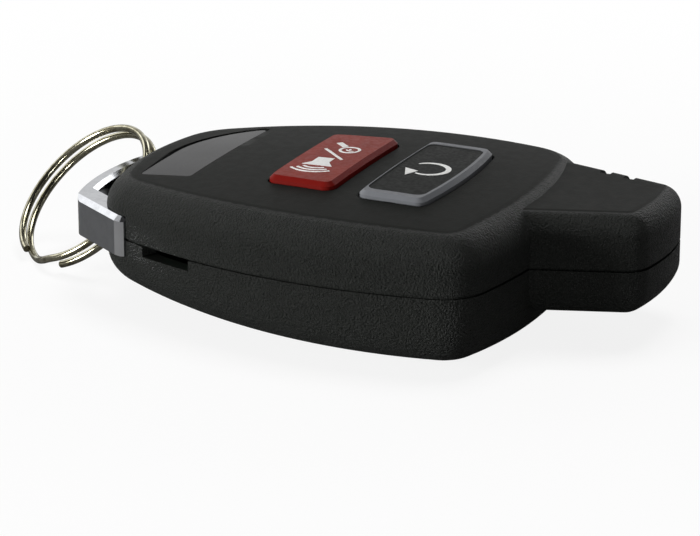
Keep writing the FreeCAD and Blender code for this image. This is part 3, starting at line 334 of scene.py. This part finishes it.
looks = {
    "case_plastic": moulded_black(),
    "smoked_lens": smoked_lens(),
    "button_red": red_plastic(),
    "button_grey": grey_plastic(),
    "button_dark": dark_inlay(),
    "bracket_chrome": chrome_with_painted_glint(),
    "ring_nickel": metal("ring_nickel", (0.46, 0.44, 0.33), 0.13, (0.22, 0.20, 0.13), 900),
    "board_laminate": board_green(),
    "switch_plastic": moulding("switch_plastic", (0.02, 0.02, 0.02), (0.035, 0.035, 0.035), 0.5),
    "sheet_steel": metal("sheet_steel", (0.60, 0.60, 0.58), 0.28, (0.50, 0.50, 0.48), 800,
                         (1.0, 0.1, 1.0)),
    "cell_steel": metal("cell_steel", (0.66, 0.66, 0.66), 0.24, (0.56, 0.56, 0.57), 900,
                        (0.08, 1.0, 1.0)),
    "gold_contact": metal("gold_contact", (0.85, 0.62, 0.24), 0.2, (0.74, 0.52, 0.2), 900),
    "chip_epoxy": moulding("chip_epoxy", (0.016, 0.016, 0.017), (0.028, 0.028, 0.028), 0.55, 2200, 0.4),
    "chip_ceramic": moulding("chip_ceramic", (0.42, 0.30, 0.19), (0.32, 0.22, 0.14), 0.4, 2600),
    "led_clear": moulding("led_clear", (0.72, 0.72, 0.66), (0.62, 0.62, 0.55), 0.2, 1200, 0.05),
    "copper_wire": metal("copper_wire", (0.72, 0.34, 0.18), 0.22, (0.60, 0.25, 0.12), 1500),
}
for part in frame["record"]["subparts"]:
    solid = frame["nodes"][part["node"]]
    solid.data.materials.clear()
    solid.data.materials.append(looks[part["material_slot"]])


# Printed pictograms, laid on the crowned button faces; plan points and widths are in millimetres
INK_THICKNESS = 0.03
INK_STEPS = 4                   # quads across each printed stroke
LOOK_DOWN_FROM = 10             # height over a node from which its upper face is measured


def face_height(node):
    """Height of a node's upper face as a function of plan position, in millimetres."""
    mesh = frame["nodes"][node].data
    tree = BVHTree.FromPolygons([v.co[:] for v in mesh.vertices], [p.vertices[:] for p in mesh.polygons])
    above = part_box(node)[1][2] + LOOK_DOWN_FROM * MM

    def height(x, y):
        hit = tree.ray_cast(Vector((x * MM, y * MM, above)), Vector((0, 0, -1)))
        return hit[0].z / MM
    return height


def strip(points, width):
    """Pairs of plan points along both edges of a stroke; width is one value or a list."""
    pairs = []
    for index, point in enumerate(points):
        before = Vector(points[max(index - 1, 0)])
        after = Vector(points[min(index + 1, len(points) - 1)])
        along = (after - before).normalized()
        wide = width[index] if isinstance(width, list) else width
        across = Vector((-along.y, along.x)) * wide / 2
        centre = Vector(point)
        pairs.append((centre + across, centre - across))
    return pairs


def arc_points(centre, radius, start, end, count=40):
    """Points on an arc, angles in degrees."""
    angles = [math.radians(start + (end - start) * index / count) for index in range(count + 1)]
    return [(centre[0] + radius * math.cos(a), centre[1] + radius * math.sin(a)) for a in angles]


def straight(first, last, count=12):
    return [tuple(Vector(first).lerp(Vector(last), index / count)) for index in range(count + 1)]


def swelling(least, more, count):
    """Widths of a stroke that swells from least to least + more at its middle."""
    return [least + more * math.sin(math.pi * index / count) for index in range(count + 1)]


def patch(near, far, count=10):
    """Pairs between two edges, each a list of two plan points."""
    return list(zip(straight(*near, count), straight(*far, count)))


def print_on(name, node, body, shapes, material):
    """Raised ink on a node's upper face from rows of point pairs."""
    height = face_height(node)
    mesh = bpy.data.meshes.new(name)
    form = bmesh.new()
    for pairs in shapes:
        rows = []
        for first, last in pairs:
            row = []
            for step in range(INK_STEPS + 1):
                x, y = Vector(first).lerp(Vector(last), step / INK_STEPS)
                row.append(form.verts.new((x * MM, y * MM, (height(x, y) + INK_THICKNESS / 2) * MM)))
            rows.append(row)
        for lower, upper in zip(rows, rows[1:]):
            for step in range(INK_STEPS):
                form.faces.new((lower[step], lower[step + 1], upper[step + 1], upper[step]))
    bmesh.ops.recalc_face_normals(form, faces=form.faces)
    for face in form.faces:
        if face.normal.z < 0:
            face.normal_flip()
    form.to_mesh(mesh)
    form.free()
    piece = bpy.data.objects.new(name, mesh)
    bpy.context.scene.collection.objects.link(piece)
    solid = piece.modifiers.new("thickness", "SOLIDIFY")
    solid.thickness = INK_THICKNESS * MM
    solid.offset = 0.0
    mesh.materials.append(material)
    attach(piece, body)


ink = moulding("ink_white", INK_WHITE, darker(INK_WHITE, 0.9), 0.5, 3000, 0.1)

SOUND_CENTRE = (-4.05, -3.1)
SOUND_RADIUS = 1.95
SOUND_SPACING = 0.72
SOUND_START = 230               # degrees
SOUND_END = 308
SOUND_WIDER = 2                 # degrees that each next wave reaches further at both ends
SOUND_WIDTH = 0.30
LENS_CENTRE = (-2.92, 2.62)
LENS_RADIUS = 1.10
horn = [
    patch([(-5.05, -1.15), (-5.05, -2.90)], [(-3.12, -1.12), (-3.08, -2.70)]),
    patch([(-5.05, -2.90), (-5.80, -4.02)], [(-3.08, -2.70), (-2.19, -4.08)]),
]
sound = []
for wave in range(3):
    start = SOUND_START - SOUND_WIDER * wave
    end = SOUND_END + SOUND_WIDER * wave
    around = arc_points(SOUND_CENTRE, SOUND_RADIUS + SOUND_SPACING * wave, start, end)
    sound.append(strip(around, SOUND_WIDTH))
slash = [strip(straight((-5.71, 2.30), (-2.20, -1.28)), 0.34)]
lens_ring = [strip(arc_points(LENS_CENTRE, LENS_RADIUS, 0, 360, 60), 0.32)]
handle = [strip(straight((-5.25, 5.10), (-3.85, 3.68)), 0.72)]
eye = [
    strip(arc_points((-2.55, 3.25), 1.0, 215, 285, 24), swelling(0.10, 0.16, 24)),
    strip(straight((-3.10, 2.78), (-2.85, 2.92), 4), 0.3),
]
alarm = horn + sound + slash + lens_ring + handle + eye
print_on("alarm_pictogram", "red_button", "panic_button", alarm, ink)

ARROW_CENTRE = (7.72, -0.15)
ARROW_RADIUS = 2.15
arrow = [
    strip(arc_points(ARROW_CENTRE, ARROW_RADIUS, 142, -112, 60), swelling(0.22, 0.38, 60)),
    patch([(5.19, -0.77), (6.12, -3.21)], [(6.89, -1.34), (6.80, -1.60)]),
]
print_on("start_pictogram", "start_button_face", "start_button", arrow, ink)


# Floor and surroundings
FLOOR_BOUNCE = (0.22, 0.22, 0.22)
FLOOR_SEEN = (0.95, 0.95, 0.95)
FLOOR_HALF = 6.0
FLOOR_GAP = 0.05 * MM           # below the lowest point of the object
FLOOR_WHITE_NEAR = 0.86         # share of plain white in what the camera sees of the floor at the object
FLOOR_WHITE_REACH = (0.03, 0.16)        # metres from the origin over which that share grows to 1
HORIZON_LIGHT = 0.32
ZENITH_LIGHT = 0.10
SKY_HEIGHTS = (0.35, 0.85)      # upward part of the direction between horizon and zenith light
FRONT_SHARE = 0.12              # light from ahead of the nose, as a share of that from behind the ring
FRONT_WAY = (-0.5, 0.3)         # forward part of the direction over which the light falls to that share
BACKDROP_WAY = (-0.40, 0.917, 0.0)      # direction of the white backdrop behind the object
BACKDROP_RAMP = (0.60, 0.92)    # share of a mirrored ray's direction that way, from none to all of the white
BACKDROP_START = (0.05, 0.40)   # metres behind the object over which the floor turns to that white


def stage_plane(name, half, z, material):
    corners = [(-half, -half, z), (half, -half, z), (half, half, z), (-half, half, z)]
    mesh = bpy.data.meshes.new(name)
    mesh.from_pydata(corners, [], [(0, 1, 2, 3)])
    mesh.materials.append(material)
    plane = bpy.data.objects.new(name, mesh)
    bpy.context.scene.collection.objects.link(plane)


def pale_floor():
    """Matte pale floor with the object's shadow: white far from it and, to mirrored rays, behind it."""
    material = new_material("floor_white", FLOOR_BOUNCE, roughness=0.9, specular=0.0)
    rays = add(material, "ShaderNodeLightPath").outputs
    seen = rays["Is Camera Ray"]
    set_color(material, blend_color(material, seen, FLOOR_BOUNCE, FLOOR_SEEN))
    behind = part_of(material, place_of(material), "Y")
    mirrored = times(material, rays["Is Glossy Ray"], ramp(material, behind, BACKDROP_START))
    away = measure(material, "LENGTH", place_of(material))
    white = ramp(material, away, FLOOR_WHITE_REACH, (FLOOR_WHITE_NEAR, 1.0))
    shown = calculate(material, "MAXIMUM", times(material, seen, white), mirrored)
    glow = add(material, "ShaderNodeEmission", {"Color": rgba(PLAIN_WHITE), "Strength": 1.0})
    surface = {0: shown, 1: shader_of(material).outputs[0], 2: glow.outputs[0]}
    mix = add(material, "ShaderNodeMixShader", surface)
    tree = material.node_tree
    out = next(node for node in tree.nodes if node.type == "OUTPUT_MATERIAL")
    tree.links.new(mix.outputs[0], out.inputs["Surface"])
    return material


def studio_world():
    """White to camera and transmission rays and, behind the object, to mirrored ones; dim elsewhere."""
    world = bpy.data.worlds.new("studio")
    world.use_nodes = True
    tree = world.node_tree
    rays = add(world, "ShaderNodeLightPath").outputs
    direction = add(world, "ShaderNodeTexCoord").outputs["Generated"]
    upward = ramp(world, part_of(world, direction, "Z"), SKY_HEIGHTS, (HORIZON_LIGHT, ZENITH_LIGHT))
    forward = ramp(world, part_of(world, direction, "X"), FRONT_WAY, (1.0, FRONT_SHARE))
    dome = times(world, upward, forward)
    backdrop = ramp(world, measure(world, "DOT_PRODUCT", direction, BACKDROP_WAY), BACKDROP_RAMP)
    mirrored = times(world, rays["Is Glossy Ray"], backdrop)
    straight_on = calculate(world, "MAXIMUM", rays["Is Camera Ray"], rays["Is Transmission Ray"])
    white = calculate(world, "MAXIMUM", straight_on, mirrored)
    level = add(world, "ShaderNodeMapRange", {"Value": white, "To Min": dome, "To Max": 1.0})
    background = next(node for node in tree.nodes if node.type == "BACKGROUND")
    background.inputs["Color"].default_value = rgba(PLAIN_WHITE)
    tree.links.new(level.outputs["Result"], background.inputs["Strength"])
    return world


# Lamps, each with its place, its target and the side of its square in metres, and its power in watts
LAMPS = {
    "key_light": ((0.04, 0.10, 0.60), (0.0, 0.0, 0.01), 0.30, 1.9),
    "front_light": ((-0.42, -0.42, 0.09), (-0.01, 0.0, 0.01), 0.20, 4.2),
    "side_light": ((-0.50, 0.12, 0.30), (-0.03, 0.0, 0.01), 0.25, 0.35),
    "rear_light": ((0.04, 0.54, 0.22), (-0.03, 0.0, 0.01), 0.20, 0.35),
    "corner_light": ((0.20, -0.52, 0.05), (0.02, 0.0, 0.01), 0.08, 0.7),
}


def soft_light(name, place, target, side, power):
    """Square area lamp aimed at a point."""
    lamp = bpy.data.lights.new(name, "AREA")
    lamp.size = side
    lamp.energy = power
    thing = bpy.data.objects.new(name, lamp)
    thing.location = place
    thing.rotation_euler = (Vector(target) - Vector(place)).to_track_quat("-Z", "Y").to_euler()
    bpy.context.scene.collection.objects.link(thing)


# Camera, at the place from which the photograph was taken
IMAGE_WIDTH = 700
FOCAL_PIXELS = 3332.0           # focal length in pixels of a picture that wide
SENSOR_WIDTH = 36.0             # millimetres
CAMERA_PLACE = Vector((138.74, -323.99, 119.69)) * MM
CAMERA_WAY = Vector((-0.37778, 0.87111, -0.31376))
NEAREST_SEEN = 0.01             # metres
FARTHEST_SEEN = 50.0


def photo_camera():
    data = bpy.data.cameras.new("camera")
    data.sensor_width = SENSOR_WIDTH
    data.lens = FOCAL_PIXELS * SENSOR_WIDTH / IMAGE_WIDTH
    data.clip_start = NEAREST_SEEN
    data.clip_end = FARTHEST_SEEN
    camera = bpy.data.objects.new("camera", data)
    camera.location = CAMERA_PLACE
    camera.rotation_euler = CAMERA_WAY.to_track_quat("-Z", "Y").to_euler()
    bpy.context.scene.collection.objects.link(camera)
    return camera


stage_plane("floor", FLOOR_HALF, CAD_BOX[0][2] - FLOOR_GAP, pale_floor())
bpy.context.scene.world = studio_world()
for name, (place, target, side, power) in LAMPS.items():
    soft_light(name, place, target, side, power)
bpy.context.scene.camera = photo_camera()
bpy.context.scene.view_settings.view_transform = "Standard"
